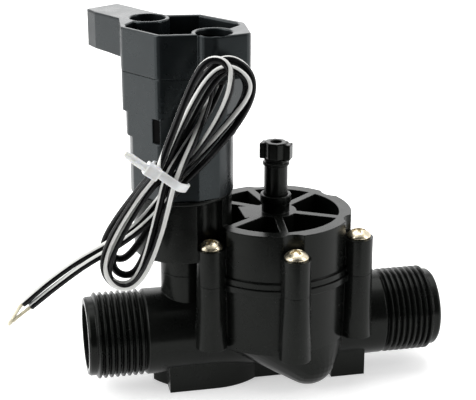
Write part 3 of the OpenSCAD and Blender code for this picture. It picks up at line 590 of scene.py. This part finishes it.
inside = []
for path in (path_a, path_b):
    rel = path - HUB
    near = (np.abs(rel @ ALONG) < NEAR_ALONG) & (np.linalg.norm(rel, axis=1) < NEAR_HUB)
    inside += [(float(p @ ACROSS), float(p @ DEPTH)) for p in rel[near]]
th = np.radians(np.arange(0, 360, BAND_STEP))
reach = np.max([[p[0] * math.cos(a) + p[1] * math.sin(a) for a in th] for p in inside], axis=0)
reach = reach + WIRE_RADIUS + BAND_GAP
for _ in range(3):
    reach = (np.roll(reach, 1) + 2 * reach + np.roll(reach, -1)) / 4
bend = (np.roll(reach, -1) - np.roll(reach, 1)) / (2 * math.radians(BAND_STEP))
loop = np.stack([reach * np.cos(th) - bend * np.sin(th), reach * np.sin(th) + bend * np.cos(th)], 1)
normal = np.stack([np.cos(th), np.sin(th)], 1)
rings = []
for p, n in zip(loop, normal):
    for o, w in SECTION:
        q = p + n * o * BAND_THICK
        rings.append(at_tie(q[0], q[1], w * BAND_WIDE))
k = len(SECTION)
band_f = []
for i in range(len(th)):
    after = (i + 1) % len(th)
    band_f += [(i * k + j, i * k + (j + 1) % k, after * k + (j + 1) % k, after * k + j) for j in range(k)]
band = piece("tie_band", np.array(rings) * MM, band_f, [MAT["nylon"]])


def block(name, axes, lo, hi, mat, inset_faces, depth, rim, soft):
    """A soft-edged box in its own axes, with sunk panels on the named faces."""
    at, ux, uy, uz = axes
    bm = bmesh.new()
    bmesh.ops.create_cube(bm, size=1.0)
    lo, hi = np.array(lo), np.array(hi)
    for v in bm.verts:
        q = lo + (np.array(v.co) + 0.5) * (hi - lo)
        v.co = Vector(q)
    for side, sign in inset_faces:
        f = [f for f in bm.faces if f.normal[side] * sign > 0.9]
        bmesh.ops.inset_region(bm, faces=f, thickness=rim, depth=-depth)
    for v in bm.verts:
        q = np.array(v.co)
        v.co = Vector((at + q[0] * ux + q[1] * uy + q[2] * uz) * MM)
    bmesh.ops.recalc_face_normals(bm, faces=bm.faces)
    me = bpy.data.meshes.new(name)
    bm.to_mesh(me)
    bm.free()
    me.materials.append(mat)
    me.polygons.foreach_set("use_smooth", [True] * len(me.polygons))
    ob = bpy.data.objects.new(name, me)
    bpy.context.collection.objects.link(ob)
    bv = ob.modifiers.new("edge", 'BEVEL')
    bv.width = soft * MM
    bv.segments = 4
    bv.limit_method = 'ANGLE'
    ob.modifiers.new("normals", 'WEIGHTED_NORMAL')
    return ob


# The tie's head and tail, in millimetres
TAIL_WIDE = 2.8
TAIL_THICK = 1.0
TOOTH = 0.10
TEETH = 70
TAPER_FROM = 0.8
TAPER = 0.35
front = float(loop[:, 1].min()) - BAND_THICK
left = float(loop[:, 0].min()) - BAND_THICK
head = block("tie_head", (HUB, ACROSS, DEPTH, ALONG), (left - 3.2, front - 2.4, -2.3),
             (left + 2.4, front + 1.4, 2.3), MAT["nylon"], inset_faces=((0, -1), (1, -1)),
             depth=0.5, rim=0.9, soft=1.1)
tail_pts = np.array([(left + 1.0, front - 1.0, 0), (left - 4.0, front - 1.1, 0),
                     (left - 8.0, front - 0.9, 0.1), (left - 12.0, front - 0.4, 0.3)])
tc, ts = curve_through(tail_pts, 0.4)
rings = []
for p, s in zip(tc, ts / ts[-1]):
    wide = TAIL_WIDE * (1 - TAPER * max(s - TAPER_FROM, 0) / (1 - TAPER_FROM))
    tooth = TOOTH * (0.5 + 0.5 * math.cos(s * TEETH))
    for o, w in SECTION:
        q = p + np.array([0, (o - 0.5) * TAIL_THICK - (tooth if o < 0.2 else 0), w * wide])
        rings.append(at_tie(*q))
tail = piece("tie_tail", np.array(rings) * MM, ring_faces(len(tc), k), [MAT["nylon"]])
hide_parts("cable_tie")
for ob in (band, head, tail):
    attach(ob, "solenoid")


# Inside: two coil springs and a diaphragm sheet, built here in place of the model's own nodes and hung on
# their bodies

def coil_spring(name, at, r, wire, z0, z1, turns, sides=10, per_turn=32):
    """A wound wire between z0 and z1 (mm), its end turns drawn close as on a ground spring."""
    f = np.linspace(0, 1, turns * per_turn + 1)
    a = 2 * math.pi * turns * f
    rise = np.interp(f * turns, [0, 0.9, turns - 0.9, turns], [0, 0.10, 0.90, 1])
    c = np.stack([at[0] + r * np.cos(a), at[1] + r * np.sin(a), z0 + (z1 - z0) * rise], 1)
    t = unit(np.gradient(c, axis=0))
    u = np.stack([np.cos(a), np.sin(a), 0 * a], 1)
    u = square_to(u, t)
    angles = np.arange(sides) * 2 * math.pi / sides
    ring = rings_round(c, u, np.cross(t, u), wire / 2, angles)
    return piece(name, (ring * MM).reshape(-1, 3), ring_faces(len(c), sides), [MAT["steel"]])


def turned(name, profile, mat, ease=0.3, steps=96):
    """A body of revolution about the valve's axis from a closed profile (radius, z) with eased corners."""
    p = np.array(profile, float)
    soft = []
    for i in range(len(p)):
        for q in (p[i - 1], p[(i + 1) % len(p)]):
            d = q - p[i]
            soft.append(p[i] + d * min(ease / np.linalg.norm(d), 0.4))
        soft.insert(-1, p[i] * 0.5 + (soft[-1] + soft[-2]) * 0.25)
    soft = np.array(soft)
    n = len(soft)
    a = np.arange(steps) * 2 * math.pi / steps
    verts = np.stack([np.outer(np.cos(a), soft[:, 0]), np.outer(np.sin(a), soft[:, 0]),
                      np.tile(soft[:, 1], (steps, 1))], 2).reshape(-1, 3) * MM
    faces = []
    for i in range(steps):
        after = (i + 1) % steps
        for j in range(n):
            k = (j + 1) % n
            faces.append((i * n + j, after * n + j, after * n + k, i * n + k))
    return piece(name, verts, faces, [mat])


PILOT_X = -36
main_spring = coil_spring("diaphragm_coil", at=(0, 0), r=7.4, wire=1.2, z0=43.2, z1=55.7, turns=5)
pilot_spring = coil_spring("plunger_coil", at=(PILOT_X, 0), r=2.2, wire=0.6, z0=82.05, z1=91.75, turns=7)
BORE = 3.10
CHAMBER = 24.0
SHEET_EDGE = 27
SHEET_LOW = 38.5
SHEET_TOP = 46.0
sheet_profile = [(BORE, SHEET_LOW), (13, SHEET_LOW), (CHAMBER - 0.4, 44.5), (SHEET_EDGE, 44.5),
                 (SHEET_EDGE, SHEET_TOP), (CHAMBER - 1, SHEET_TOP), (12.8, 39.9), (BORE, 39.9)]
sheet = turned("diaphragm_sheet", sheet_profile, MAT["rubber"])
for ob, slot, node, body, joint, fixed, low, lift in (
        (main_spring, "steel", "diaphragm_spring", "valve", "diaphragm_lift", 56.5, 42.6, 5.0),
        (pilot_spring, "steel", "plunger_spring", "solenoid", "plunger_lift", 92.2, 81.75, 2.0),
        (sheet, "rubber", "diaphragm", "valve", "diaphragm_lift", SHEET_TOP, SHEET_LOW, 5.0)):
    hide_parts(node)
    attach(ob, body)
    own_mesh(ob)


# Painted shade in the two clip slots in the shell's corners: a thin near-black matte sheet in each slot
# stands for the shade deep inside it

# Painted shade: near-black, matte and barely glossy, so the slots read as black shade
SLOT_SHADE = moulded("painted_slot_shade", (0.0012, 0.0012, 0.0012), (0.0022, 0.0022, 0.0022), (0.60, 0.75),
                 specular=0.04)
SLOT_Z = 100.9
SLOT_TALL = 9.0
SLOT_PLAY = 0.05
SLOT_SHADE_DEEP = 0.30
up = np.array([0.0, 0.0, 1.0])
# Painted shade: one dark sheet laid on the faces of each clip slot
for name, a, b in (("clip_slot_front", (-45.7, -15.2, SLOT_Z), (-48.4, -13.1, SLOT_Z)),
                   ("clip_slot_back", (-26.3, 15.2, SLOT_Z), (-23.6, 13.1, SLOT_Z))):
    a, b = np.array(a), np.array(b)
    wide = np.linalg.norm(b - a)
    ux = (b - a) / wide
    slot_shade_sheet = block(name, (a, ux, np.cross(up, ux), up), (SLOT_PLAY, 0.0, SLOT_PLAY),
                   (wide - SLOT_PLAY, SLOT_SHADE_DEEP, SLOT_TALL - SLOT_PLAY), SLOT_SHADE,
                   inset_faces=((1, 1),), depth=0.2, rim=0.25, soft=0.04)
    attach(slot_shade_sheet, "solenoid")


# Floor, light and background

FLOOR_REACH = 3
FLOOR_FRONT_LEFT = -0.16
FLOOR_FRONT_RIGHT = -0.45
FLOOR_STEP_X = 0.045
outline = ((-FLOOR_REACH, FLOOR_FRONT_LEFT, 0), (FLOOR_STEP_X, FLOOR_FRONT_LEFT, 0),
           (FLOOR_STEP_X, FLOOR_FRONT_RIGHT, 0), (FLOOR_REACH, FLOOR_FRONT_RIGHT, 0),
           (FLOOR_REACH, FLOOR_REACH, 0), (-FLOOR_REACH, FLOOR_REACH, 0))
bm = bmesh.new()
bm.faces.new([bm.verts.new(p) for p in outline])
me = bpy.data.meshes.new("floor")
bm.to_mesh(me)
bm.free()
floor = bpy.data.objects.new("floor", me)
floor.location = (0, 0, cad_box[0][2] - 0.0001)
bpy.context.collection.objects.link(floor)
m, t, b = tree_of("floor_paper")
b.inputs["Base Color"].default_value = (0.80, 0.80, 0.80, 1)
b.inputs["Emission Color"].default_value = (1, 1, 1, 1)
b.inputs["Emission Strength"].default_value = 0.5
b.inputs["Roughness"].default_value = 0.9
b.inputs["Specular IOR Level"].default_value = 0.1
floor.data.materials.append(m)

# The camera sees plain white. Other rays see a room that is bright behind and dim in front,
# and mirrored ones see white behind and beside the part and that room in front of it.

world = bpy.data.worlds.new("studio")
bpy.context.scene.world = world
world.use_nodes = True
wt = world.node_tree
bg = wt.nodes["Background"]
rays = wt.nodes.new("ShaderNodeLightPath").outputs
facing = wt.nodes.new("ShaderNodeSeparateXYZ")
wt.links.new(wt.nodes.new("ShaderNodeTexCoord").outputs["Generated"], facing.inputs["Vector"])


def join(kind, a, b):
    n = wt.nodes.new("ShaderNodeMath")
    n.operation = kind
    wt.links.new(a, n.inputs[0])
    wt.links.new(b, n.inputs[1])
    return n.outputs[0]


room = spread(wt, facing.outputs["Y"], 0.05, 1.6, -0.55, 0.75)
behind = spread(wt, facing.outputs["Y"], 0.0, 1.0, -0.60, 0.0)
glossy = join('MAXIMUM', rays["Is Glossy Ray"], rays["Is Transmission Ray"])
mirrored = join('MULTIPLY', glossy, behind)
strength = wt.nodes.new("ShaderNodeMix")
wt.links.new(join('MAXIMUM', rays["Is Camera Ray"], mirrored), strength.inputs["Factor"])
wt.links.new(room, strength.inputs["A"])
strength.inputs["B"].default_value = 1.0
wt.links.new(strength.outputs["Result"], bg.inputs["Strength"])
bg.inputs["Color"].default_value = (1, 1, 1, 1)


def softbox(name, at, to, size, power):
    """A white area light at one place, turned to another, in metres and watts."""
    li = bpy.data.lights.new(name, 'AREA')
    li.shape = 'RECTANGLE'
    li.size, li.size_y = size
    li.energy = power
    ob = bpy.data.objects.new(name, li)
    ob.location = at
    ob.rotation_euler = (Vector(at) - Vector(to)).to_track_quat('Z', 'Y').to_euler()
    bpy.context.collection.objects.link(ob)


AIM = (-0.01, 0.0, 0.06)
softbox("key_left", (-1.0, -0.15, 0.55), AIM, size=(0.9, 0.9), power=11.0)
softbox("fill_right", (0.9, -0.45, 0.5), AIM, size=(0.35, 0.9), power=4.5)
softbox("overhead", (0.0, 0.25, 1.1), AIM, size=(1.2, 0.8), power=7.0)
softbox("rear", (0.25, 1.3, 0.62), AIM, size=(1.4, 0.8), power=5.0)

scene = bpy.context.scene
scene.view_settings.view_transform = 'Standard'
scene.view_settings.look = 'None'
scene.view_settings.exposure = 0
scene.view_settings.gamma = 1
